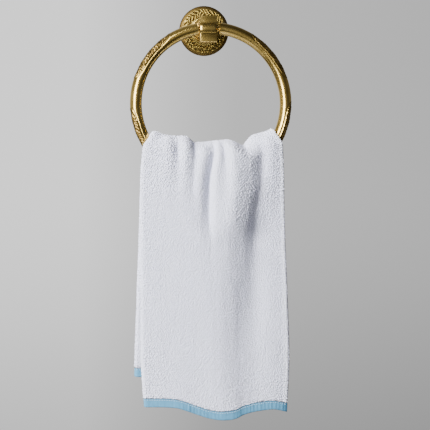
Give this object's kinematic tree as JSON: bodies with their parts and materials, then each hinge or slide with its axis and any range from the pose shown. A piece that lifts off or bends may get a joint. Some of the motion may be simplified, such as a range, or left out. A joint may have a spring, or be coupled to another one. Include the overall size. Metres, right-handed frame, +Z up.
{
  "type": "hand towel on towel ring",
  "caption": "Terry hand towel folded lengthwise, with a woven binding on its short ends, drawn through a round towel ring on a wall bracket.",
  "frame": {"origin": "centre of the wall rose's flat back face", "axes": "+Z up, +Y into the wall along the bracket, +X to the right seen from in front"},
  "size_m": [0.1821, 0.0773, 0.4681],
  "materials": {
    "brass": "antique brass, brushed, with dark in its low places",
    "terry": "white cotton terry with a dense loop pile",
    "binding_tape": "pale blue woven cotton tape, matte"
  },
  "bodies": {
    "root": {"wall_rose": "brass", "bracket": "brass", "towel_ring": "brass", "towel": "terry", "binding_front": "binding_tape", "binding_back": "binding_tape"}
  },
  "joints": []
}
